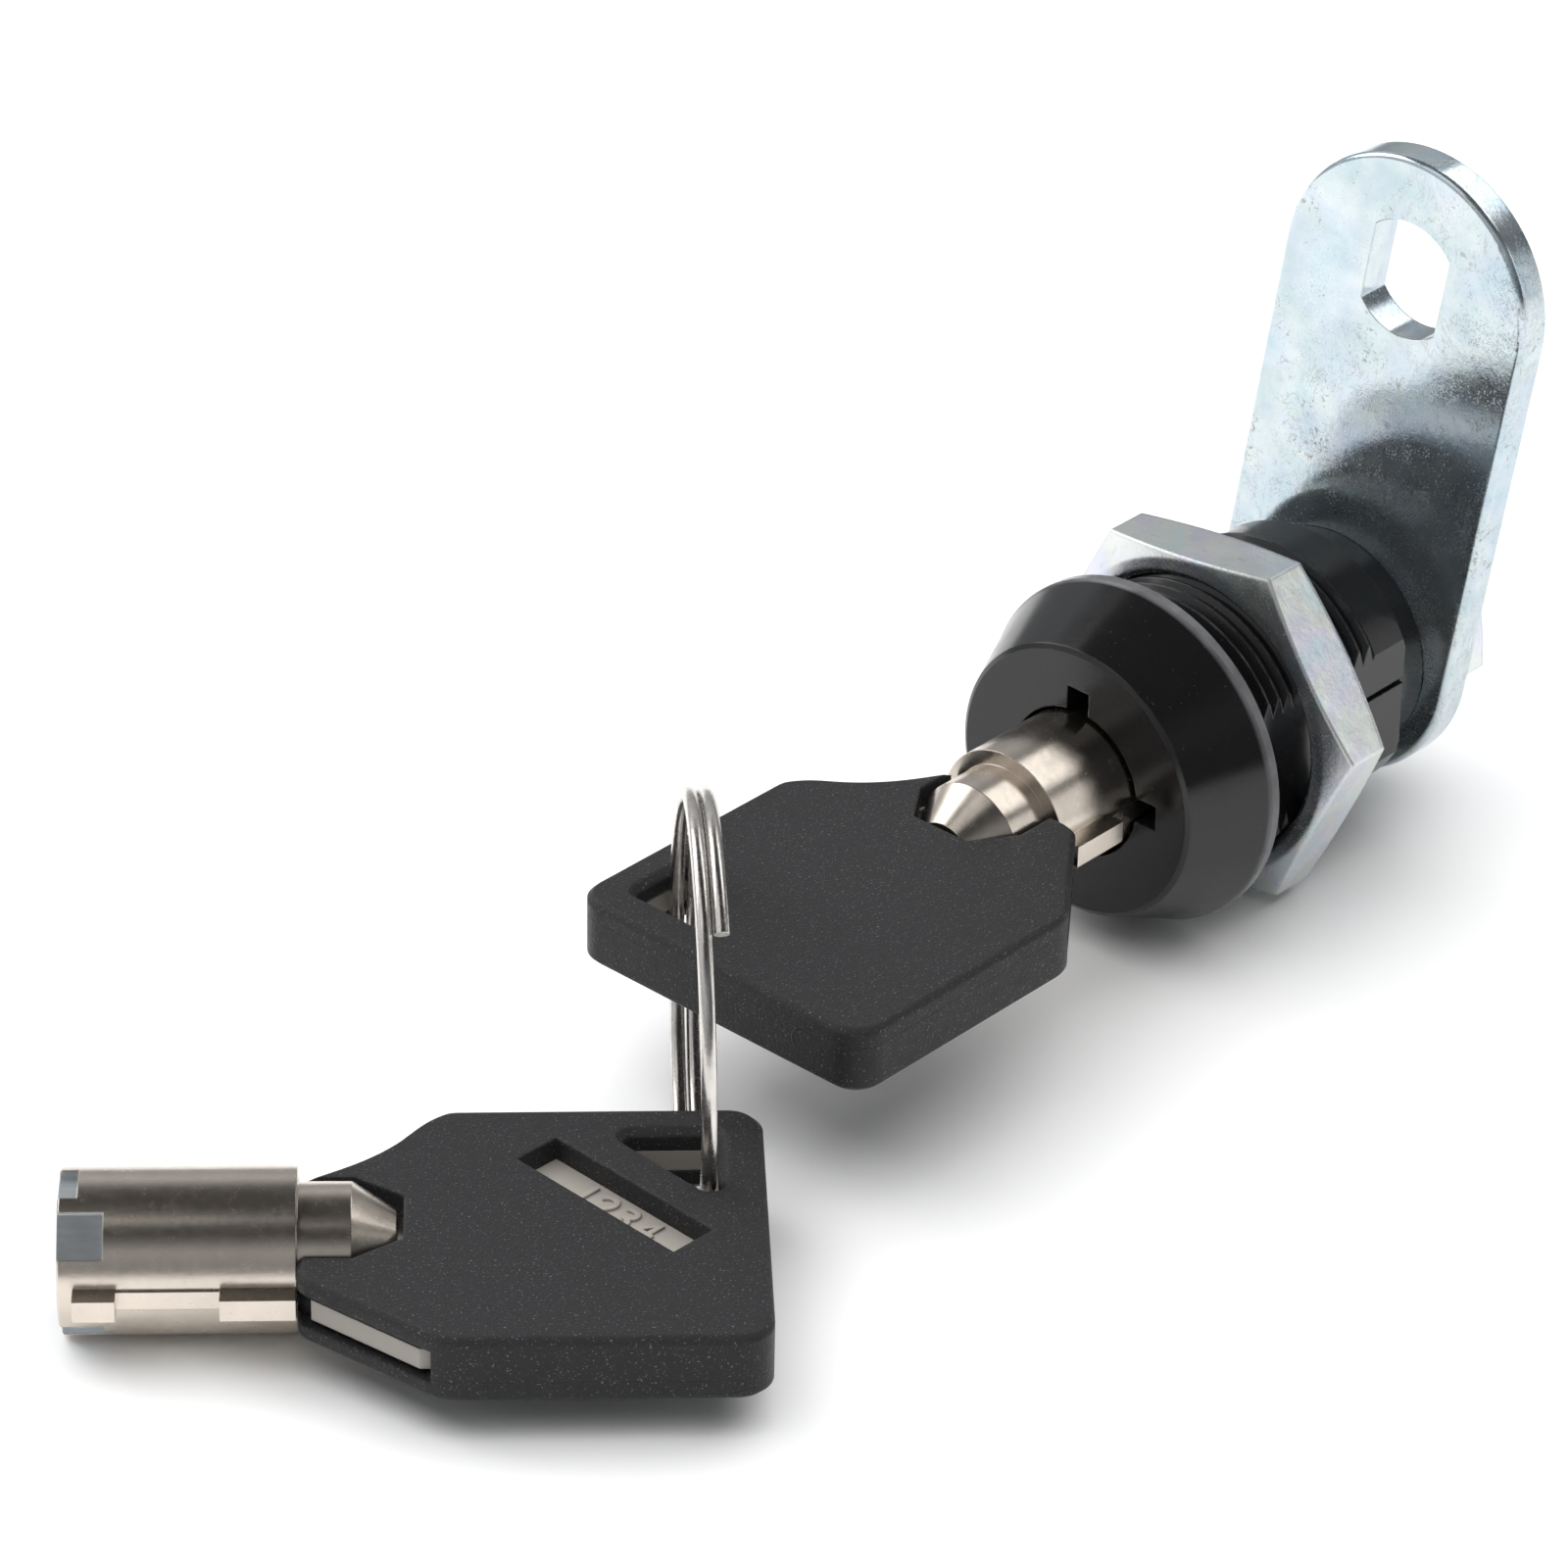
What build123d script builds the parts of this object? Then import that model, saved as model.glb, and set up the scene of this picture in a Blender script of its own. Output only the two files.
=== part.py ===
from build123d import *
import math
import os

os.makedirs("parts", exist_ok=True)

# Cam lock with two tubular keys on a split ring. Millimetres.
# Y runs along the lock axis (key side negative, cam side positive), Z is up.
# The origin is on the lock axis in the plane of the flange's back face.

# ---- housing ----
FACE_Y = -6.1            # front face of the flange
FACE_R = 9.1             # front face radius, where the cone starts
RIM_Y = -0.8             # front edge of the cylindrical rim
RIM_R = 11.4             # flange rim radius
THREAD_R = 9.45          # M19 thread crest
THREAD_ROOT_R = 8.85     # thread root
THREAD_PITCH = 1.0
RELIEF_R = 9.55          # shallow relief behind the flange, clear of a 19 mm cut-out
THREAD_START = 1.2
THREAD_END = 13.8
END_R = 9.0              # plain rear end of the barrel
BARREL_END = 16.6
FLAT_HALF = 8.0          # barrel flats, 16 mm across
BORE_R = 7.0             # main bore
LIP_BACK = -3.9          # back face of the front lip
KEYHOLE_R = 5.0          # round opening for the key
NOTCH_W = 1.7            # width of the two key lug notches
NOTCH_R = 6.5            # reach of the notches
STOP_ARC = 26.0          # housing stop lug, degrees
STOP_R_IN = 5.7
STOP_R_OUT = 7.6
STOP_END = 18.9

# ---- spindle and tumblers ----
POST_R = 3.85            # centre post, runs inside the key tube
POST_FRONT = -5.7
FLANGE_R = 6.93
FLANGE_Y0 = 0.7
SHEAR_Y = 3.7            # shear line
SHAFT_R = 2.6
PIN_COUNT = 7
PIN_CIRCLE = 4.93        # radius of the pin circle
PIN_R = 0.72
PIN_HOLE_R = 0.75
PIN_PITCH = 45.0         # the eighth place on the circle belongs to the key's lug
PIN_DEPTHS = [2.6, 1.1, 1.8, 2.3, 1.3, 2.0, 2.5]
BLOCK_Y0 = 3.75
BLOCK_Y1 = 12.9
DRIVER_LEN = 3.2
SPRING_WIRE = 0.11
SPRING_R = 0.5
SPRING_END = 11.4

# ---- tail, cam and fasteners ----
BUSH_Y0 = 12.95
BUSH_Y1 = 16.55
JOURNAL_R = 4.5
TAIL_R = 3.9             # double-D tail, 7.8 x 5.68 mm
TAIL_FLAT = 2.84
TAIL_Y0 = 16.65
TAIL_END = 27.7
HOLE_R = 3.94            # double-D hole in cam, disc and washer
HOLE_FLAT = 2.88
DISC_Y0 = 16.75
DISC_Y1 = 19.2
DISC_R = 7.6
CAM_Y0 = 19.27
CAM_T = 2.4
CAM_HALF_W = 9.3
CAM_REACH = 25.84        # axis to the centre of the round end
CAM_HOLE_AT = 27.05      # axis to the second double-D hole
CAM_TILT = 8.3           # cam direction, degrees from +Z towards +X
NUT_AF = 22.0            # fixing nut
NUT_Y0 = 5.0
NUT_T = 4.2
NUT_TURN = -24.3
CAM_NUT_AF = 13.0
WASHER_Y1 = 22.9
CAM_NUT_Y1 = 27.0

# ---- keys ----
TUBE_R = 4.75            # key tube outside
TUBE_BORE = 3.9          # key tube inside
TUBE_LEN = 13.36
TUBE_DEPTH = 12.0        # depth of the tube bore
SHANK_R = 3.8
SHANK_END = 16.4
CONE_R = 2.2
CONE_END = 18.9
POCKET_W = 2.7           # bitting cut width
POCKET_FLOOR_R = 4.14    # wall left inside the cuts
LUG_W = 1.4
LUG_R = 6.0
PLATE_T = 1.35           # metal plate inside the bow
BOW_T = 4.29             # plastic bow thickness
BOW_EDGE = 0.35
RING_HOLE = [(37.2, 8.5), (31.2, 8.5), (37.2, 1.9)]
WINDOW_AT = (31.2, 2.05) # centre of the number window
WINDOW_SIZE = (12.8, 3.1)
WINDOW_TURN = -47.0
KEY_A_TIP = (0, 0.53, 0)
KEY_B_TIP = (-14.797, -76.7, -6.66)
KEY_B_YAW = 44.7

# ---- split ring ----
RING_R = 11.9
RING_WIRE = 0.46
RING_PITCH = 1.0
RING_TURNS = 1.66
RING_START = 50.0        # angle of the first free end above the horizontal
RING_Z = 1.0             # height of the ring centre
RING_IN_A = (33.65, 7.45)  # where the strands cross bow A, key coordinates
RING_IN_B = (36.5, 4.85)


def cyl(radius, y0, y1):
    """Solid cylinder along the lock axis."""
    return Plane((0, y0, 0), z_dir=(0, 1, 0)) * extrude(Circle(radius), y1 - y0)


def ring_of(outer, inner, y0, y1):
    return cyl(outer, y0, y1) - cyl(inner, y0 - 1, y1 + 1)


def about_axis(shape, degrees):
    """Turn a shape about the lock axis, +X towards +Z."""
    return Rot(0, -degrees, 0) * shape


def prism(points, y0, y1):
    """Extrude an outline given in X, Z along the lock axis."""
    face = Plane((0, y0, 0), x_dir=(1, 0, 0), z_dir=(0, -1, 0)) * make_face(Polyline(*points, close=True))
    return extrude(face, y1 - y0, dir=(0, 1, 0))


def double_d(radius, flat, y0, y1):
    """Round bar with two flats that run along the cam's length."""
    bar = cyl(radius, y0, y1) & Pos(0, (y0 + y1) / 2, 0) * Box(2 * flat, y1 - y0, 4 * radius)
    return Rot(0, CAM_TILT, 0) * bar


def hexagon(across_flats, y0, y1, chamfer_out):
    """Hexagonal prism with corners turned down at both ends."""
    corner_r = across_flats / math.sqrt(3)
    points = []
    for i in range(6):
        a = math.radians(60 * i + 30)
        points.append((corner_r * math.cos(a), corner_r * math.sin(a)))
    body = prism(points, y0, y1)
    flat_r = across_flats / 2 * 0.97
    drop = chamfer_out * 0.5
    profile = [(0, y0), (flat_r, y0), (corner_r + 0.1, y0 + drop), (corner_r + 0.1, y1 - drop),
               (flat_r, y1), (0, y1)]
    return body & revolve(make_face(Polyline(*profile, close=True)), Axis.Y)


def sector(r_in, r_out, y0, y1, a0, a1):
    """Part of a ring between two angles, measured from +X towards +Z."""
    steps = max(2, int(abs(a1 - a0) / 10) + 1)
    angles = [math.radians(a0 + (a1 - a0) * i / steps) for i in range(steps + 1)]
    far = r_out * 1.5
    points = [(0, 0)] + [(far * math.cos(a), far * math.sin(a)) for a in angles]
    return ring_of(r_out, r_in, y0, y1) & prism(points, y0, y1)


def pin_place(i):
    a = math.radians(-PIN_PITCH * (i + 1))
    return Pos(PIN_CIRCLE * math.cos(a), 0, PIN_CIRCLE * math.sin(a))


def pin_spot(i, y0, y1, radius):
    """Cylinder at tumbler position i."""
    return pin_place(i) * cyl(radius, y0, y1)


def housing():
    profile = [(0, FACE_Y), (FACE_R - 0.3, FACE_Y), (FACE_R, FACE_Y + 0.2), (RIM_R - 0.15, RIM_Y - 0.25),
               (RIM_R, RIM_Y), (RIM_R, -0.15), (RIM_R - 0.15, 0), (RELIEF_R, 0), (RELIEF_R, -0.3),
               (THREAD_ROOT_R, -0.3), (THREAD_ROOT_R, THREAD_START)]
    y = THREAD_START
    while y + THREAD_PITCH <= THREAD_END + 1e-6:
        profile += [(THREAD_R, y + THREAD_PITCH * 0.42), (THREAD_R, y + THREAD_PITCH * 0.58),
                    (THREAD_ROOT_R, y + THREAD_PITCH)]
        y += THREAD_PITCH
    profile += [(END_R, y + 0.15), (END_R, BARREL_END - 0.3), (END_R - 0.3, BARREL_END), (0, BARREL_END)]
    body = revolve(make_face(Polyline(*profile, close=True)), Axis.Y)
    for side in (-1, 1):
        body -= Pos(side * (FLAT_HALF + 2), BARREL_END / 2, 0) * Box(4, BARREL_END, 30)
    body -= Pos(FLAT_HALF, 14.6, 1.1) * Box(0.8, 4.2, 0.45)
    body -= cyl(BORE_R, LIP_BACK, BARREL_END + 1)
    body -= cyl(KEYHOLE_R, FACE_Y - 1, 0)
    for turn in (0, 90):
        notch = Pos(NOTCH_R / 2, FACE_Y, 0) * Box(NOTCH_R, 6, NOTCH_W)
        body -= about_axis(notch, turn)
    body -= Pos(0, 10.4, -7.5) * Cylinder(1.0, 6)
    return body + sector(STOP_R_IN, STOP_R_OUT, BARREL_END - 0.01, STOP_END,
                         -90 - STOP_ARC / 2, -90 + STOP_ARC / 2) + sector(
        BORE_R, STOP_R_OUT, BARREL_END - 0.4, STOP_END, -90 - STOP_ARC / 2, -90 + STOP_ARC / 2)


def hex_nut():
    nut = hexagon(NUT_AF, NUT_Y0, NUT_Y0 + NUT_T, 1.2) - cyl(THREAD_R + 0.05, 0, 20)
    for y, way in ((NUT_Y0, 1), (NUT_Y0 + NUT_T, -1)):
        profile = [(0, y), (THREAD_R + 0.45, y), (THREAD_R, y + 0.4 * way), (0, y + 0.4 * way)]
        nut -= revolve(make_face(Polyline(*profile, close=True)), Axis.Y)
    return about_axis(nut, NUT_TURN)


def spindle():
    body = cyl(POST_R, POST_FRONT, FLANGE_Y0 + 1) + cyl(FLANGE_R, FLANGE_Y0, SHEAR_Y)
    body = chamfer(body.edges().group_by(Axis.Y)[0], 0.4)
    body += cyl(SHAFT_R, SHEAR_Y - 1, 15.0)
    for i in range(PIN_COUNT):
        body -= pin_spot(i, FLANGE_Y0 - 1, SHEAR_Y + 1, PIN_HOLE_R)
    body -= cyl(1.25, POST_FRONT - 1, 1.0)
    return body - Pos(0, 14.1, 0) * Rot(0, 90, 0) * Cylinder(0.75, 12)


def pin_block():
    body = ring_of(BORE_R - 0.02, SHAFT_R + 0.05, BLOCK_Y0, BLOCK_Y1)
    for i in range(PIN_COUNT):
        body -= pin_spot(i, BLOCK_Y0 - 1, SPRING_END + 0.05, PIN_HOLE_R)
    return body - Pos(0, 10.4, -7.5) * Cylinder(1.0, 3.4)


def pin_spring():
    length = SPRING_END - (BLOCK_Y0 + 0.05 + DRIVER_LEN) - 2 * SPRING_WIRE
    path = Helix(pitch=length / 6, height=length, radius=SPRING_R)
    start = Plane(path @ 0, z_dir=path % 0)
    coil = sweep(start * Circle(SPRING_WIRE), path)
    return Pos(0, BLOCK_Y0 + 0.08 + DRIVER_LEN + SPRING_WIRE, 0) * Rot(-90, 0, 0) * coil


def tailpiece():
    body = cyl(JOURNAL_R, BUSH_Y0 + 0.1, TAIL_Y0)
    body += double_d(TAIL_R, TAIL_FLAT, TAIL_Y0 - 0.5, TAIL_END - 0.6)
    tip = Plane((0, TAIL_END - 0.6, 0), z_dir=(0, 1, 0)) * extrude(Circle(TAIL_R), 0.6, taper=40)
    tip &= Rot(0, CAM_TILT, 0) * Pos(0, TAIL_END - 0.3, 0) * Box(2 * TAIL_FLAT, 1, 10)
    body += tip
    y = CAM_Y0 + CAM_T + 1.6
    while y < TAIL_END - 1:
        groove = ring_of(TAIL_R + 1, TAIL_R - 0.3, y, y + 0.45)
        body -= groove
        y += 1.0
    body -= cyl(SHAFT_R + 0.02, BUSH_Y0, 15.05)
    return body - Pos(0, 14.1, 0) * Rot(0, 90, 0) * Cylinder(0.75, 12)


def stop_disc():
    disc = cyl(DISC_R, DISC_Y0, DISC_Y1) - double_d(HOLE_R, HOLE_FLAT, 15, 22)
    a1 = -90 + STOP_ARC / 2 + 1
    a0 = a1 - STOP_ARC - 92
    disc -= sector(STOP_R_IN - 0.4, DISC_R + 1, DISC_Y0 - 0.5, DISC_Y1 + 0.5, a0, a1)
    return disc


def cam():
    strip = Pos(0, CAM_Y0 + CAM_T / 2, CAM_REACH / 2) * Box(2 * CAM_HALF_W, CAM_T, CAM_REACH)
    body = strip + cyl(CAM_HALF_W, CAM_Y0, CAM_Y0 + CAM_T)
    body += Pos(0, 0, CAM_REACH) * cyl(CAM_HALF_W, CAM_Y0, CAM_Y0 + CAM_T)
    ends = body.edges().filter_by(GeomType.CIRCLE)
    body = fillet(ends.group_by(Axis.Y)[0], 0.4)
    ends = body.edges().filter_by(GeomType.CIRCLE)
    body = chamfer(ends.group_by(Axis.Y)[-1], 0.12)
    for at in (0, CAM_HOLE_AT):
        hole = cyl(HOLE_R, CAM_Y0 - 1, CAM_Y0 + CAM_T + 1)
        hole &= Pos(0, CAM_Y0 + 1, 0) * Box(2 * HOLE_FLAT, 10, 20)
        body -= Pos(0, 0, at) * hole
    return Rot(0, CAM_TILT, 0) * body


def lock_washer():
    return ring_of(6.9, HOLE_R + 0.02, CAM_Y0 + CAM_T, WASHER_Y1)


def cam_nut():
    nut = hexagon(CAM_NUT_AF, WASHER_Y1, CAM_NUT_Y1, 1.2)
    return about_axis(nut - cyl(TAIL_R + 0.05, 20, 30), 12)


def key_plane(name):
    """Key coordinates: X from the tip to the bow, Z out of the window face."""
    if name == "a":
        return Plane(KEY_A_TIP, x_dir=(0, -1, 0), z_dir=(0, 0, -1))
    yaw = math.radians(KEY_B_YAW)
    return Plane(KEY_B_TIP, x_dir=(math.cos(yaw), math.sin(yaw), 0), z_dir=(0, 0, 1))


def bar(radius, x0, x1, end_radius=None):
    """Round bar along the key, optionally tapered."""
    end = radius if end_radius is None else end_radius
    points = [(x0, 0), (x0, radius), (x1, end), (x1, 0)]
    return revolve(make_face(Polyline(*points, close=True)), Axis.X)


def flat_plate(points, z0, z1):
    return Pos(0, 0, z0) * extrude(make_face(Polyline(*points, close=True)), z1 - z0)


def bow_outline():
    curve = [(13.4, 3.85), (14.7, 4.6), (16.4, 5.65), (18.05, 7.0), (19.2, 8.3), (20.2, 9.6),
             (21.2, 10.45), (22.4, 10.8)]
    edges = Spline(*curve, tangents=[(0.87, 0.5), (1, 0)])
    edges += Polyline((22.4, 10.8), (37.9, 10.8))
    edges += ThreePointArc((37.9, 10.8), (39.31, 10.21), (39.9, 8.8))
    edges += Line((39.9, 8.8), (39.9, -9.95))
    edges += ThreePointArc((39.9, -9.95), (39.31, -11.36), (37.9, -11.95))
    edges += Polyline((37.9, -11.95), (22.4, -11.95))
    edges += ThreePointArc((22.4, -11.95), (21.35, -11.76), (20.4, -11.15))
    edges += Polyline((20.4, -11.15), (14.3, -6.45))
    edges += ThreePointArc((14.3, -6.45), (13.65, -5.85), (13.4, -5.0))
    edges += Line((13.4, -5.0), (13.4, 3.85))
    return make_face(edges)


def ring_hole(grow=0.0):
    face = make_face(Polyline(*RING_HOLE, close=True))
    face = fillet(face.vertices(), 0.5)
    return offset(face, grow) if grow else face


def key_insert():
    body = bar(TUBE_R, 0, TUBE_LEN) + bar(SHANK_R, 12.5, SHANK_END) + bar(SHANK_R, SHANK_END, CONE_END, CONE_R)
    body -= bar(TUBE_BORE, -1, TUBE_DEPTH)
    body = chamfer(body.edges().group_by(Axis.X)[0], 0.12)
    strip = Pos(6.2, -3.4 - 0.82, 0) * Box(6.2, 1.45, 1.2)
    for x0, x1 in ((0.9, 3.3), (9.1, TUBE_LEN)):
        body += Pos((x0 + x1) / 2, -5.1, 0) * Box(x1 - x0, 2 * (LUG_R - 5.1), LUG_W)
    body += strip - bar(TUBE_BORE + 0.1, -1, 20)
    for i, depth in enumerate(PIN_DEPTHS):
        cut = Pos(depth / 2 - 1, -(POCKET_FLOOR_R + 1.0), 0) * Box(depth + 2, 2.0, POCKET_W)
        body -= Rot(-PIN_PITCH * (i + 1), 0, 0) * cut
    plate = [(14.2, -5.9), (20.3, -10.65), (37.4, -10.65), (38.5, -9.6), (38.5, 8.4), (37.4, 9.5),
             (22.8, 9.5), (21.4, 8.4), (19.6, 6.0), (17.6, 4.6), (15.0, 3.4)]
    body += flat_plate(plate, -PLATE_T / 2, PLATE_T / 2)
    return body - Pos(0, 0, -5) * extrude(ring_hole(), 10)


def key_bow(insert):
    half = BOW_T / 2
    body = Pos(0, 0, -half) * extrude(bow_outline(), BOW_T)
    body = chamfer(body.faces().filter_by(Axis.Z).edges(), BOW_EDGE)
    pocket = [(13.0, -4.0), (16.5, -4.0), (19.3, -2.1), (19.3, 2.1), (16.5, 4.0), (13.0, 4.0)]
    body -= flat_plate(pocket, -5, 5)
    slot = [(12.5, -3.6), (14.6, -4.9), (20.9, -9.8), (20.9, -12.2), (12.5, -8.0)]
    body -= flat_plate(slot, -1.1, 1.1)
    window = Pos(0, 0, 2.5) * Box(WINDOW_SIZE[0], WINDOW_SIZE[1], 5 - PLATE_T)
    body -= Pos(WINDOW_AT[0], WINDOW_AT[1], 0) * Rot(0, 0, WINDOW_TURN) * window
    body -= Pos(0, 0, -5) * extrude(ring_hole(), 10)
    for side in (-1, 1):
        flare = loft([Pos(0, 0, side * (half - 0.5)) * ring_hole(), Pos(0, 0, side * half) * ring_hole(0.5)])
        body -= flare
    return body - insert


def split_ring():
    a = key_plane("a").from_local_coords(Vector(RING_IN_A[0], RING_IN_A[1], 0))
    b = key_plane("b").from_local_coords(Vector(RING_IN_B[0], RING_IN_B[1], 0))
    way = Vector(b.X - a.X, b.Y - a.Y, 0).normalized()
    reach = math.sqrt(RING_R ** 2 - RING_Z ** 2)
    centre = Vector(a.X, a.Y, 0) + way * reach + Vector(0, 0, RING_Z)
    path = Helix(pitch=RING_PITCH, height=RING_PITCH * RING_TURNS, radius=RING_R)
    start = Plane(path @ 0, z_dir=path % 0)
    coil = sweep(start * Circle(RING_WIRE), path)
    coil = Pos(0, 0, -RING_PITCH * RING_TURNS / 2) * coil
    tilt = math.radians(RING_START)
    x_dir = way * math.cos(tilt) + Vector(0, 0, math.sin(tilt))
    normal = way.cross(Vector(0, 0, 1))
    return Plane(centre, x_dir=x_dir, z_dir=normal) * coil


nodes = {
    "housing": housing(),
    "hex_nut": hex_nut(),
    "spindle": spindle(),
    "anti_drill_pin": cyl(1.25, POST_FRONT + 0.2, 1.0),
    "pin_block": pin_block(),
    "retaining_pin": Pos(0, 10.4, -7.2) * Cylinder(1.0, 2.8),
    "rear_bush": ring_of(BORE_R - 0.02, JOURNAL_R + 0.05, BUSH_Y0, BUSH_Y1),
    "tailpiece": tailpiece(),
    "tail_cross_pin": Pos(0, 14.1, 0) * Rot(0, 90, 0) * Cylinder(0.75, 8.6),
    "stop_disc": stop_disc(),
    "cam": cam(),
    "lock_washer": lock_washer(),
    "cam_nut": cam_nut(),
    "split_ring": split_ring(),
}

spring = pin_spring()
for i, depth in enumerate(PIN_DEPTHS):
    y_tip = KEY_A_TIP[1] - depth + 0.02
    y_driver = BLOCK_Y0 + 0.02
    nodes[f"key_pin_{i + 1}"] = pin_spot(i, y_tip, SHEAR_Y, PIN_R)
    nodes[f"driver_pin_{i + 1}"] = pin_spot(i, y_driver, y_driver + DRIVER_LEN, PIN_R)
    nodes[f"pin_spring_{i + 1}"] = pin_place(i) * spring

insert = key_insert()
bow = key_bow(insert)
for name in ("a", "b"):
    where = key_plane(name).location
    nodes[f"key_{name}_insert"] = where * insert
    nodes[f"key_{name}_bow"] = where * bow

for name, shape in nodes.items():
    solids = shape.solids()
    shape = solids[0] if len(solids) == 1 else Compound(children=solids)
    shape.label = name
    export_step(shape, f"parts/{name}.step")
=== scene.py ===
import math
import bpy
from mathutils import Matrix, Vector


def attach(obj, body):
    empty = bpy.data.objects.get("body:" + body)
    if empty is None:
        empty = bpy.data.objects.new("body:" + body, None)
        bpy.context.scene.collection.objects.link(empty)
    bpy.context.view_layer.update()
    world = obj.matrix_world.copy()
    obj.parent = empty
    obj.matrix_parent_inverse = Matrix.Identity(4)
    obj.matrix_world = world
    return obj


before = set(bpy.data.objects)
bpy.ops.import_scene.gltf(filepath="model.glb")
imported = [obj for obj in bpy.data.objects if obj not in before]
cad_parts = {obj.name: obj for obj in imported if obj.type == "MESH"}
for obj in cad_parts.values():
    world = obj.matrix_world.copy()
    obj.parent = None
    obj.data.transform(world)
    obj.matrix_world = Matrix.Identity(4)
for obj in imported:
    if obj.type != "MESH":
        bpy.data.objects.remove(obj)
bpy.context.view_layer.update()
MM = 0.001

# ---------- places and sizes on the object, millimetres ----------
# A key's own frame: u runs from its tip to the end of the bow, v across the bow, w out of its flat side.
KEY_A_TIP = (0, 0.53, 0)
KEY_A_YAW = -math.pi / 2
KEY_B_TIP = (-14.797, -76.7, -6.66)
KEY_B_YAW = math.radians(44.7)
RIM_EDGE = (11.22, 11.34)       # from the housing's rim to its outermost edge
CUT_SKIN = (4.62, 4.68)         # radius where the tube's plated skin begins
CUT_END = (2.85, 2.90)          # where the bitting cuts end, from the tip
WING_START = (13.6, 13.7)       # the plate's bare sides beside the shank
WING_SIDE = (3.8, 3.9)          # how far out from the axis they start
PLATE_START = (19.6, 19.8)      # the plate inside the bow
PLATE_SKIN = (0.90, 0.92)       # just clear of the plate's faces
SEAM_LEVEL = 0.8                # parting line of the bow, above its middle
SEAM_WIDTH = 0.07
GATE_AT = 7.6                   # gate mark on the end of the bow, along v
GATE_R = 0.8
GATE_WIDTH = 0.09
GATE_CUT = (7.8, 8.0)           # leaves the mark a half circle
BOW_END = (39.7, 39.8)          # just short of the end face of the bow
WINDOW_AT = (31.2, 2.05)        # centre of the number window, along u and v
WINDOW_TURN = math.radians(-47)
PLATE_FACE = 0.70               # height of the plate under the digits
DIGIT_SIZE = 2.9
DIGIT_RISE = 0.11
DIGIT_ROUND = 0.04
FLOOR_Z = -11.47                # the loose key lies on it


def metres(values):
    return tuple(value * MM for value in values)


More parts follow.
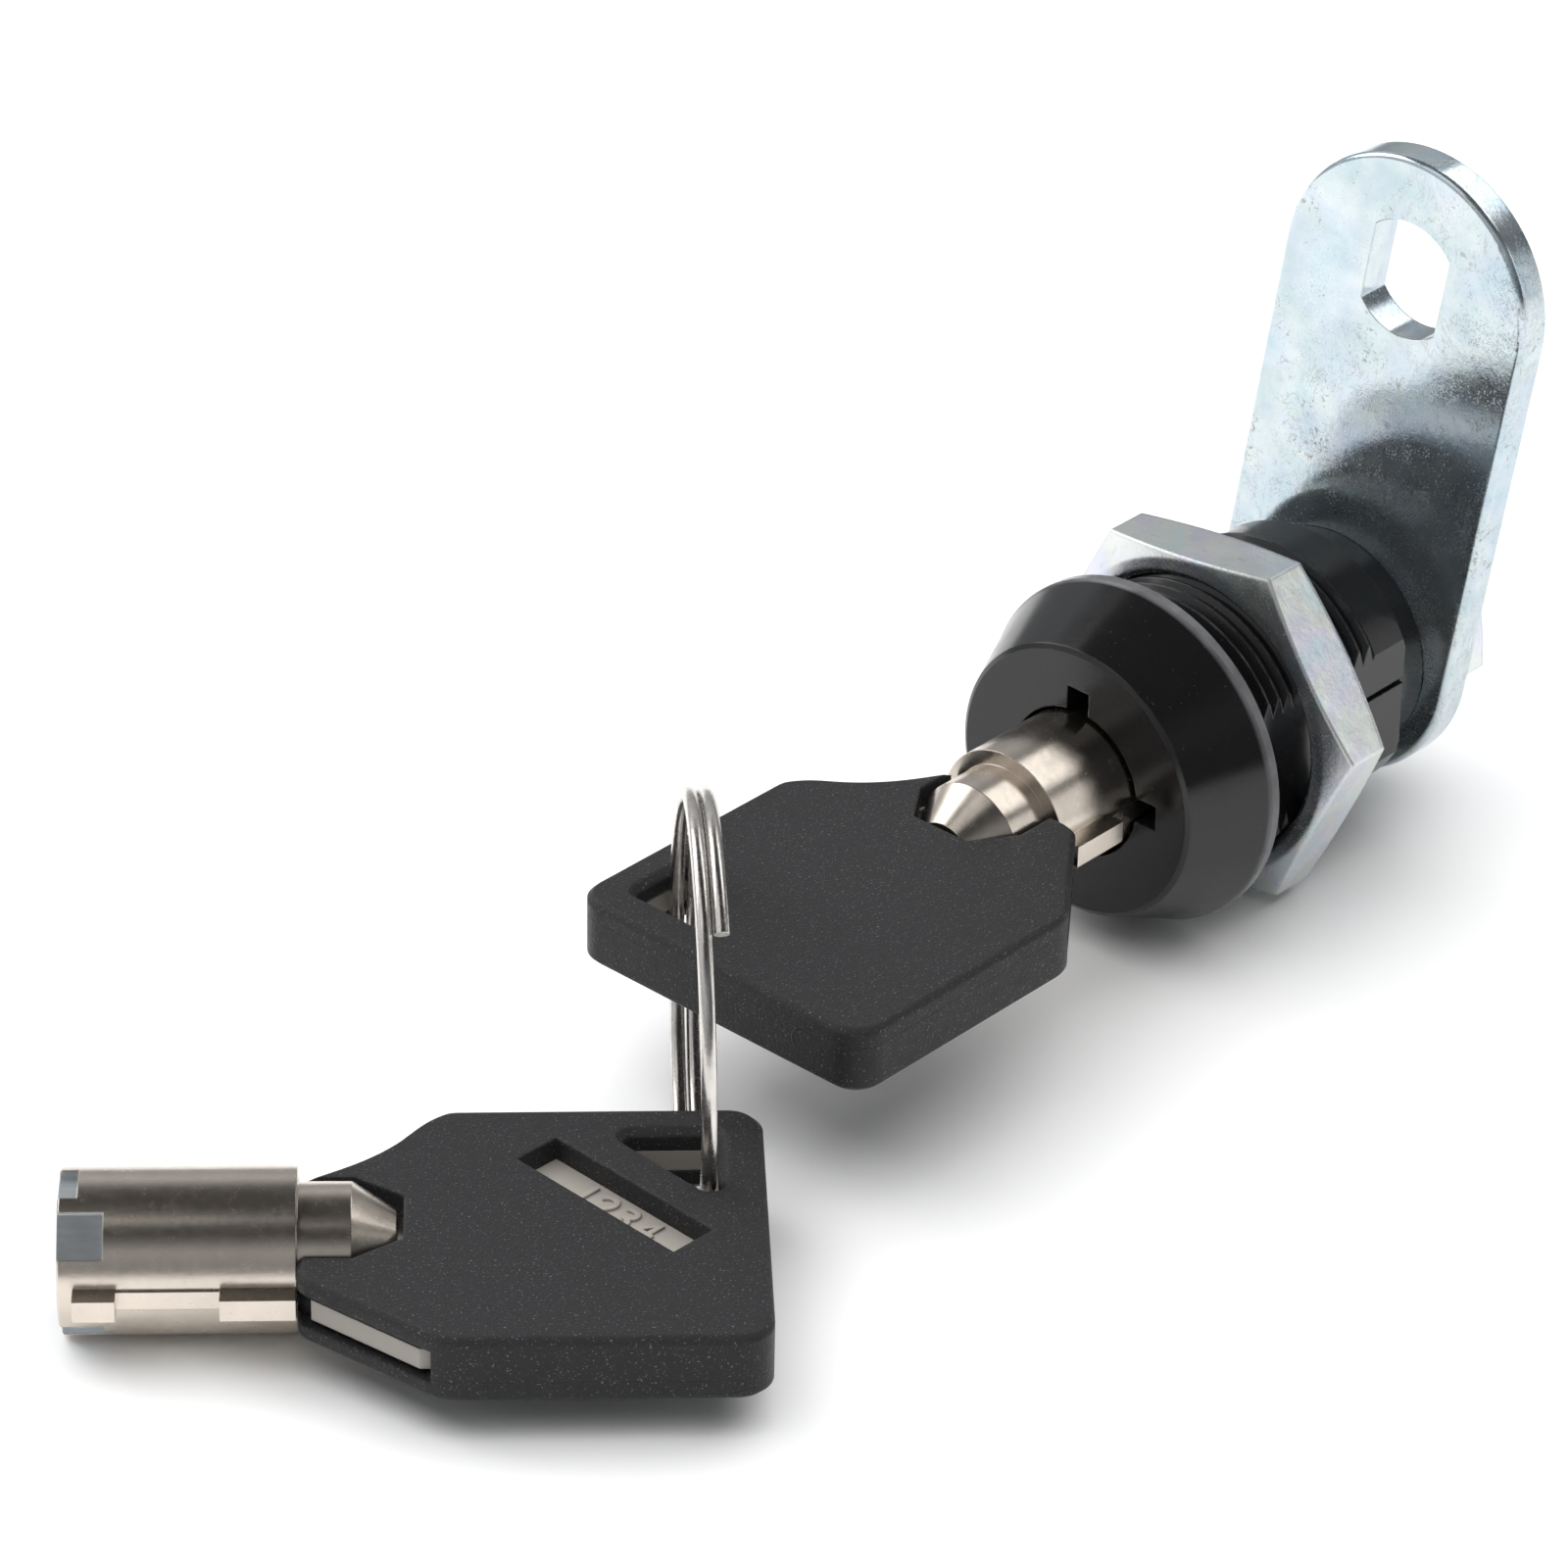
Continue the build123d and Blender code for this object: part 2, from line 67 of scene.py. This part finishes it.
# ---------- node helpers ----------
class Graph:
    """A small wrapper that adds and links shader nodes."""

    def __init__(self, name):
        self.mat = bpy.data.materials.new(name)
        self.mat.use_nodes = True
        self.tree = self.mat.node_tree
        self.tree.nodes.clear()
        self.out = self.add("ShaderNodeOutputMaterial")
        self.coord = self.add("ShaderNodeTexCoord").outputs["Object"]

    def add(self, kind, **inputs):
        node = self.tree.nodes.new(kind)
        for key, value in inputs.items():
            self.put(node, key, value)
        return node

    def put(self, node, key, value):
        socket = node.inputs[key] if isinstance(key, int) else node.inputs[key.replace("_", " ")]
        if isinstance(value, bpy.types.NodeSocket):
            self.tree.links.new(value, socket)
        else:
            socket.default_value = value

    def noise(self, scale, detail=4.0, rough=0.5, squash=None, distort=0.0):
        vector = self.coord
        if squash:
            vector = self.add("ShaderNodeVectorMath")
            vector.operation = "MULTIPLY"
            self.put(vector, 0, self.coord)
            self.put(vector, 1, squash)
            vector = vector.outputs[0]
        node = self.add("ShaderNodeTexNoise", Vector=vector, Scale=scale, Detail=detail,
                        Roughness=rough)
        node.inputs["Distortion"].default_value = distort
        return node.outputs["Fac"]

    def ramp(self, value, stops):
        node = self.add("ShaderNodeValToRGB")
        self.tree.links.new(value, node.inputs[0])
        elements = node.color_ramp.elements
        while len(elements) < len(stops):
            elements.new(0.5)
        for element, (at, color) in zip(elements, stops):
            element.position = at
            element.color = color if len(color) == 4 else (*color, 1)
        return node.outputs["Color"]

    def math(self, kind, a, b=0.0, clamp=False):
        node = self.add("ShaderNodeMath")
        node.operation = kind
        node.use_clamp = clamp
        self.put(node, 0, a)
        self.put(node, 1, b)
        return node.outputs[0]

    def mix(self, factor, a, b):
        node = self.add("ShaderNodeMix")
        node.data_type = "RGBA"
        self.put(node, 0, factor)
        self.put(node, 6, a if isinstance(a, bpy.types.NodeSocket) else (*a, 1))
        self.put(node, 7, b if isinstance(b, bpy.types.NodeSocket) else (*b, 1))
        return node.outputs[2]

    def span(self, value, low, high, out_low, out_high):
        """Maps low..high to out_low..out_high and holds it there outside."""
        node = self.add("ShaderNodeMapRange", Value=value)
        for index, number in zip((1, 2, 3, 4), (low, high, out_low, out_high)):
            node.inputs[index].default_value = number
        return node.outputs[0]

    def bump(self, height, strength, distance, normal=None):
        node = self.add("ShaderNodeBump", Height=height)
        node.inputs["Strength"].default_value = strength
        node.inputs["Distance"].default_value = distance
        if normal is not None:
            self.tree.links.new(normal, node.inputs["Normal"])
        return node.outputs[0]

    def soft_edge(self, radius):
        node = self.add("ShaderNodeBevel")
        node.samples = 6
        node.inputs["Radius"].default_value = radius
        return node.outputs[0]

    def place(self, origin, yaw):
        """Turns the row frame into a part's own: X along it from origin, Z up."""
        shift = self.add("ShaderNodeVectorMath")
        shift.operation = "SUBTRACT"
        self.put(shift, 0, self.coord)
        self.put(shift, 1, origin)
        turn = self.add("ShaderNodeVectorRotate", Vector=shift.outputs[0])
        turn.rotation_type = "Z_AXIS"
        turn.inputs["Angle"].default_value = -yaw
        self.coord = turn.outputs[0]

    def xyz(self):
        node = self.add("ShaderNodeSeparateXYZ")
        self.tree.links.new(self.coord, node.inputs[0])
        return node.outputs

    def radius(self, a, b):
        """Distance from an axis, from two coordinates across it."""
        squares = self.math("ADD", self.math("MULTIPLY", a, a), self.math("MULTIPLY", b, b))
        return self.math("SQRT", squares)

    def finish(self, **inputs):
        shader = self.add("ShaderNodeBsdfPrincipled")
        for key, value in inputs.items():
            if key == "Base_Color" and not isinstance(value, bpy.types.NodeSocket):
                value = (*value, 1)
            self.put(shader, key, value)
        self.tree.links.new(shader.outputs[0], self.out.inputs[0])
        return self.mat


# ---------- materials ----------
def edge_mask(g, radius, gain):
    """A mask, 1 on sharp edges and 0 on flat ground, and the softened normal it comes from."""
    bevel = g.soft_edge(radius)
    geometry = g.add("ShaderNodeNewGeometry")
    dot = g.add("ShaderNodeVectorMath")
    dot.operation = "DOT_PRODUCT"
    g.put(dot, 0, bevel)
    g.put(dot, 1, geometry.outputs["Normal"])
    away = g.math("SUBTRACT", 1.0, dot.outputs["Value"])
    return g.math("MULTIPLY", away, gain, clamp=True), bevel


def black_housing():
    """Black anodised metal: fine turned grain, a little dust and a rubbed rim."""
    g = Graph("black_housing")
    edge, bevel = edge_mask(g, 0.00012, 6.0)
    turned = g.noise(9000, 3, 0.6, (0.03, 1.0, 0.03))
    dust = g.ramp(g.noise(4200, 2, 0.5), [(0.70, (0, 0, 0)), (0.78, (1, 1, 1))])
    wear = g.math("MULTIPLY", edge, g.span(g.noise(2500, 4, 0.6), 0.4, 0.7, 0.0, 0.9))
    color = g.mix(g.math("MULTIPLY", wear, 0.35), (0.006, 0.006, 0.0065), (0.22, 0.22, 0.23))
    color = g.mix(g.math("MULTIPLY", dust, 0.10), color, (0.3, 0.3, 0.3))
    x, _, z = g.xyz()
    rim = g.span(g.radius(x, z), *metres(RIM_EDGE), 0.0, 1.0)
    rim = g.math("MULTIPLY", rim, g.span(g.noise(500, 3, 0.5), 0.3, 0.6, 0.55, 1.0))
    color = g.mix(g.math("MULTIPLY", rim, 0.6), color, (0.16, 0.16, 0.17))
    rough = g.span(g.noise(700, 5, 0.6), 0.3, 0.7, 0.15, 0.23)
    normal = g.bump(turned, 0.10, 0.00002, bevel)
    return g.finish(Base_Color=color, Roughness=rough, Normal=normal, Specular_IOR_Level=0.45)


RAINBOW = [(0.36, (0.50, 0.66, 0.76)), (0.46, (0.70, 0.58, 0.74)),
           (0.55, (0.78, 0.74, 0.56)), (0.66, (0.54, 0.72, 0.70))]


def zinc(name, tint_a, tint_b, rough_low, rough_high, rainbow, specks, grain, pits, edge_r):
    """Blue zinc plate: cloudy tint, faint rainbow, dirt specks, hairline scratches and a fine grain."""
    g = Graph(name)
    edge, bevel = edge_mask(g, edge_r, 5.0)
    color = g.mix(g.span(g.noise(260, 5, 0.65), 0.35, 0.68, 0.0, 1.0), tint_a, tint_b)
    hue = g.ramp(g.noise(170, 3, 0.5, None, 0.8), RAINBOW)
    color = g.mix(rainbow, color, hue)
    dirt = g.math("MULTIPLY", g.noise(2600, 6, 0.8), g.span(g.noise(330, 4, 0.6), 0.35, 0.65, 0.75, 1.25))
    speck = g.ramp(dirt, [(0.65, (0, 0, 0)), (0.73, (1, 1, 1))])
    color = g.mix(g.math("MULTIPLY", speck, specks), color, (0.20, 0.17, 0.13))
    crack = g.math("ABSOLUTE", g.math("SUBTRACT", g.noise(420, 5, 0.7, (1.0, 1.0, 0.6), 1.2), 0.5))
    patch = g.span(g.noise(120, 2, 0.5), 0.44, 0.54, 0.0, 1.0)
    crack = g.math("MULTIPLY", g.span(crack, 0.0, 0.010, 1.0, 0.0), patch)
    color = g.mix(g.math("MULTIPLY", crack, specks), color, (0.24, 0.21, 0.17))
    scratch = g.ramp(g.noise(1500, 3, 0.5, (0.5, 1.0, 0.06), 0.4),
                     [(0.66, (0, 0, 0)), (0.72, (1, 1, 1))])
    color = g.mix(g.math("MULTIPLY", scratch, 0.30), color, (0.40, 0.40, 0.40))
    color = g.mix(g.math("MULTIPLY", edge, 0.5), color, (0.88, 0.90, 0.92))
    rough = g.span(g.noise(900, 6, 0.7), 0.3, 0.7, rough_low, rough_high)
    crowd = g.span(g.noise(210, 3, 0.6), 0.35, 0.65, 0.8, 1.2)
    pit = g.math("MULTIPLY", g.noise(6500, 3, 0.7), crowd)
    pit = g.ramp(pit, [(0.58, (0, 0, 0)), (0.68, (1, 1, 1))])
    rough = g.math("ADD", rough, g.math("MULTIPLY", pit, pits))
    normal = g.bump(g.noise(3300, 5, 0.7), grain, 0.00004, bevel)
    normal = g.bump(g.noise(600, 3, 0.5), grain * 0.7, 0.00012, normal)
    return g.finish(Base_Color=color, Roughness=rough, Metallic=0.92, Normal=normal)


def nickel(name, color_a, color_b, rough, grain, grain_scale=2600):
    """Plain bright metal in a cloudy mix of two colours."""
    g = Graph(name)
    edge, bevel = edge_mask(g, 0.0001, 5.0)
    color = g.mix(g.span(g.noise(600, 4, 0.6), 0.35, 0.65, 0.0, 1.0), color_a, color_b)
    color = g.mix(g.math("MULTIPLY", edge, 0.25), color, (0.85, 0.82, 0.78))
    rough = g.span(g.noise(1800, 4, 0.6), 0.3, 0.7, rough * 0.8, rough * 1.25)
    normal = g.bump(g.noise(grain_scale, 3, 0.55), grain, 0.00004, bevel)
    return g.finish(Base_Color=color, Roughness=rough, Metallic=1.0, Normal=normal)


def key_nickel(name, origin, yaw):
    """Satin nickel with a soft grain, bare milled bitting cuts and a duller plate in the bow."""
    g = Graph(name)
    g.place(metres(origin), yaw)
    u, v, w = g.xyz()
    edge, bevel = edge_mask(g, 0.0001, 5.0)
    cloud = g.span(g.noise(500, 4, 0.6), 0.35, 0.65, 0.0, 1.0)
    color = g.mix(cloud, (0.62, 0.555, 0.485), (0.68, 0.61, 0.535))
    color = g.mix(g.math("MULTIPLY", edge, 0.3), color, (0.80, 0.76, 0.71))
    fleck = g.ramp(g.noise(3000, 3, 0.6), [(0.66, (0, 0, 0)), (0.72, (1, 1, 1))])
    color = g.mix(g.math("MULTIPLY", fleck, 0.25), color, (0.86, 0.80, 0.72))
    inner = g.span(g.radius(v, w), *metres(CUT_SKIN), 1.0, 0.0)
    tip = g.math("MULTIPLY", inner, g.span(u, *metres(CUT_END), 1.0, 0.0))
    milled = g.mix(g.noise(2600, 4, 0.6, (0.2, 1.0, 1.0)), (0.55, 0.60, 0.63), (0.85, 0.88, 0.90))
    color = g.mix(tip, color, milled)
    rough = g.span(g.noise(1800, 4, 0.6), 0.3, 0.7, 0.22, 0.28)
    rough = g.math("ADD", rough, g.math("MULTIPLY", tip, 0.14))
    wing = g.math("MULTIPLY", g.span(u, *metres(WING_START), 0.0, 1.0),
                  g.span(g.math("ABSOLUTE", v), *metres(WING_SIDE), 0.0, 1.0))
    plate = g.math("MULTIPLY", g.math("MAXIMUM", wing, g.span(u, *metres(PLATE_START), 0.0, 1.0)),
                   g.span(g.math("ABSOLUTE", w), *metres(PLATE_SKIN), 1.0, 0.0))
    color = g.mix(plate, color, (0.32, 0.295, 0.265))
    rough = g.math("ADD", rough, g.math("MULTIPLY", plate, 0.15))
    metal = g.span(plate, 0.0, 1.0, 1.0, 0.12)
    normal = g.bump(g.noise(2300, 2, 0.5), 0.07, 0.00004, bevel)
    normal = g.bump(g.noise(5200, 2, 0.5, (0.15, 1.0, 1.0)), 0.05, 0.00003, normal)
    return g.finish(Base_Color=color, Roughness=rough, Metallic=metal, Normal=normal)


def black_plastic(name, origin, yaw, flip):
    """Moulded black plastic: fine sparkle, rubbed edges, a parting line and a gate mark at the end.

    flip is 1 or -1 and puts the parting line on the same side of both keys.
    """
    g = Graph(name)
    g.place(metres(origin), yaw)
    u, v, w = g.xyz()
    edge, bevel = edge_mask(g, 0.0004, 3.0)
    spark = g.ramp(g.noise(7500, 2, 0.5), [(0.64, (0, 0, 0)), (0.72, (1, 1, 1))])
    color = g.mix(g.math("MULTIPLY", spark, 0.42), (0.023, 0.023, 0.024), (0.30, 0.30, 0.305))
    rub = g.math("MULTIPLY", edge, g.span(g.noise(1600, 5, 0.65), 0.35, 0.65, 0.1, 0.9))
    color = g.mix(g.math("MULTIPLY", rub, 0.3), color, (0.15, 0.15, 0.155))
    rough = g.span(g.noise(900, 4, 0.6), 0.3, 0.7, 0.38, 0.50)
    normal = g.bump(g.noise(5200, 3, 0.6), 0.9, 0.00006, bevel)
    seam = g.math("ABSOLUTE", g.math("SUBTRACT", g.math("MULTIPLY", w, flip), SEAM_LEVEL * MM))
    seam = g.span(seam, 0.0, SEAM_WIDTH * MM, 1.0, 0.0)
    gate = g.radius(g.math("SUBTRACT", v, GATE_AT * MM), w)
    gate = g.math("ABSOLUTE", g.math("SUBTRACT", gate, GATE_R * MM))
    gate = g.math("MULTIPLY", g.span(gate, 0.0, GATE_WIDTH * MM, 1.0, 0.0),
                  g.span(u, *metres(BOW_END), 0.0, 1.0))
    gate = g.math("MULTIPLY", gate, g.span(v, *metres(GATE_CUT), 1.0, 0.0))
    marks = g.math("ADD", g.math("MULTIPLY", seam, 0.5), gate)
    normal = g.bump(marks, 0.6, 0.00008, normal)
    return g.finish(Base_Color=color, Roughness=rough, Normal=normal, Specular_IOR_Level=0.16)


MATS = {
    "black": black_housing(),
    "cam": zinc("zinc_cam", (0.43, 0.54, 0.60), (0.64, 0.71, 0.735), 0.08, 0.14,
                rainbow=0.12, specks=0.70, grain=0.13, pits=0.25, edge_r=0.00015),
    "nut": zinc("zinc_nut", (0.58, 0.65, 0.69), (0.76, 0.80, 0.82), 0.17, 0.26,
                rainbow=0.32, specks=0.08, grain=0.20, pits=0.08, edge_r=0.00035),
    "key_a": key_nickel("nickel_key_a", KEY_A_TIP, KEY_A_YAW),
    "key_b": key_nickel("nickel_key_b", KEY_B_TIP, KEY_B_YAW),
    "ring": nickel("ring_steel", (0.60, 0.57, 0.54), (0.72, 0.69, 0.655), 0.24, 0.02, 3500),
    "brass": nickel("brass_pin", (0.72, 0.55, 0.26), (0.80, 0.63, 0.33), 0.25, 0.10),
    "steel": nickel("plain_steel", (0.50, 0.50, 0.51), (0.60, 0.60, 0.61), 0.28, 0.10),
    "bow_a": black_plastic("plastic_a", KEY_A_TIP, KEY_A_YAW, 1.0),
    "bow_b": black_plastic("plastic_b", KEY_B_TIP, KEY_B_YAW, -1.0),
}

# Nodes with a material of their own; kind_of finds the rest by name.
KIND = {"housing": "black", "rear_bush": "black", "pin_block": "black", "spindle": "black",
        "hex_nut": "nut", "cam_nut": "nut", "lock_washer": "nut", "tailpiece": "nut",
        "cam": "cam", "stop_disc": "black", "split_ring": "ring"}


def kind_of(node):
    """Names the material of a CAD node."""
    if node in KIND:
        return KIND[node]
    if node.endswith("_bow"):
        return "bow_" + node[4]
    if node.endswith("_insert"):
        return node[:5]
    return "brass" if node.startswith(("key_pin_", "driver_pin_")) else "steel"


for name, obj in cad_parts.items():
    obj.data.materials.clear()
    obj.data.materials.append(MATS[kind_of(name)])


# ---------- key numbers ----------
def number(name, body, origin, along, across, out):
    """Raised generic digits on the metal plate in a bow's window.

    along, across and out are the key's own three directions.
    """
    data = bpy.data.curves.new(name, "FONT")
    data.body = "1234"
    data.align_x = data.align_y = "CENTER"
    data.size = DIGIT_SIZE * MM
    data.space_character = 1.15
    data.extrude = DIGIT_RISE * MM
    data.bevel_depth = DIGIT_ROUND * MM
    text = bpy.data.objects.new(name, data)
    bpy.context.scene.collection.objects.link(text)
    along, across, out = Vector(along), Vector(across), Vector(out)
    read = along * math.cos(WINDOW_TURN) + across * math.sin(WINDOW_TURN)
    rise = out.cross(read)
    at = Vector(origin) * MM + (along * WINDOW_AT[0] + across * WINDOW_AT[1] + out * PLATE_FACE) * MM
    text.matrix_world = Matrix.Translation(at) @ Matrix((read, rise, out)).transposed().to_4x4()
    bpy.context.view_layer.update()
    depsgraph = bpy.context.evaluated_depsgraph_get()
    mesh = bpy.data.meshes.new_from_object(text.evaluated_get(depsgraph))
    mesh.transform(text.matrix_world)
    solid = bpy.data.objects.new(name, mesh)
    bpy.context.scene.collection.objects.link(solid)
    bpy.data.objects.remove(text)
    mesh.materials.clear()
    mesh.materials.append(MATS[body])
    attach(solid, body)


number("number_a", "key_a", KEY_A_TIP, (0, -1, 0), (-1, 0, 0), (0, 0, -1))
number("number_b", "key_b", KEY_B_TIP, (math.cos(KEY_B_YAW), math.sin(KEY_B_YAW), 0),
       (-math.sin(KEY_B_YAW), math.cos(KEY_B_YAW), 0), (0, 0, 1))

# ---------- floor ----------
bpy.ops.mesh.primitive_plane_add(size=6, location=(0, 0, FLOOR_Z * MM))
floor = bpy.context.object
floor.name = "floor"
g = Graph("floor_white")
floor.data.materials.append(g.finish(Base_Color=(0.86, 0.86, 0.86), Roughness=0.9,
                                     Specular_IOR_Level=0.1))

# ---------- light ----------
# The surroundings, by height above the horizon: bright low down, dark overhead.
SKY = [(0.0, 0.40), (0.28, 0.55), (0.52, 0.80), (0.66, 0.40), (0.80, 0.08), (1.0, 0.05)]
BRIGHT_SIDE = (-0.86, -0.50, 0.0)
DIM, BRIGHT = 0.16, 1.10

world = bpy.data.worlds.new("studio")
bpy.context.scene.world = world
world.use_nodes = True
tree = world.node_tree
tree.nodes.clear()
coord = tree.nodes.new("ShaderNodeTexCoord")
split = tree.nodes.new("ShaderNodeSeparateXYZ")
ramp = tree.nodes.new("ShaderNodeValToRGB")
side = tree.nodes.new("ShaderNodeVectorMath")
level = tree.nodes.new("ShaderNodeMapRange")
shade = tree.nodes.new("ShaderNodeBackground")
out = tree.nodes.new("ShaderNodeOutputWorld")
while len(ramp.color_ramp.elements) < len(SKY):
    ramp.color_ramp.elements.new(0.5)
for element, (at, grey) in zip(ramp.color_ramp.elements, SKY):
    element.position = at
    element.color = (grey * 0.98, grey, grey * 1.02, 1)
side.operation = "DOT_PRODUCT"
side.inputs[1].default_value = BRIGHT_SIDE
for index, value in zip((1, 2, 3, 4), (-0.9, 0.9, DIM, BRIGHT)):
    level.inputs[index].default_value = value
tree.links.new(coord.outputs["Generated"], split.inputs[0])
tree.links.new(coord.outputs["Generated"], side.inputs[0])
tree.links.new(split.outputs[2], ramp.inputs[0])
tree.links.new(ramp.outputs[0], shade.inputs[0])
tree.links.new(side.outputs["Value"], level.inputs[0])
tree.links.new(level.outputs[0], shade.inputs[1])
tree.links.new(shade.outputs[0], out.inputs[0])


def softbox(name, at, size, power, seen):
    """A rectangular light aimed at the object. seen says whether reflections show it."""
    data = bpy.data.lights.new(name, "AREA")
    data.shape = "RECTANGLE"
    data.size, data.size_y = size
    data.energy = power
    lamp = bpy.data.objects.new(name, data)
    bpy.context.scene.collection.objects.link(lamp)
    lamp.location = at
    lamp.rotation_euler = (AIM - Vector(at)).to_track_quat("-Z", "Y").to_euler()
    lamp.visible_glossy = seen


AIM = Vector((0, -0.02, 0))
softbox("top", (-0.03, -0.02, 0.50), (0.90, 0.90), 5.6, False)
softbox("left", (-0.38, -0.12, 0.30), (0.30, 0.32), 0.70, True)
softbox("back", (0.06, 0.36, 0.42), (0.44, 0.20), 0.50, True)
softbox("front", (-0.08, -0.25, 0.42), (0.25, 0.25), 0.17, True)
softbox("right", (0.37, 0.32, 0.13), (0.16, 0.26), 0.14, True)

# ---------- camera ----------
AZ, EL, ROLL = (math.radians(v) for v in (41.888, 30.867, 1.085))
TARGET = Vector((-7.389, -24.664, 4.728)) * MM
DIST = 377.5 * MM
back = Vector((math.sin(AZ) * math.cos(EL), -math.cos(AZ) * math.cos(EL), math.sin(EL)))
right = Vector((math.cos(AZ), math.sin(AZ), 0))
up = back.cross(right)
x_axis = math.cos(ROLL) * right + math.sin(ROLL) * up
y_axis = -math.sin(ROLL) * right + math.cos(ROLL) * up
pose = Matrix((x_axis, y_axis, back)).transposed().to_4x4()
pose.translation = TARGET + back * DIST
lens = bpy.data.cameras.new("camera")
lens.sensor_width = 36
lens.lens = 144.2
lens.clip_start = 0.01
camera = bpy.data.objects.new("camera", lens)
bpy.context.scene.collection.objects.link(camera)
camera.matrix_world = pose
bpy.context.scene.camera = camera

bpy.context.scene.view_settings.view_transform = "Standard"
bpy.context.scene.view_settings.look = "None"
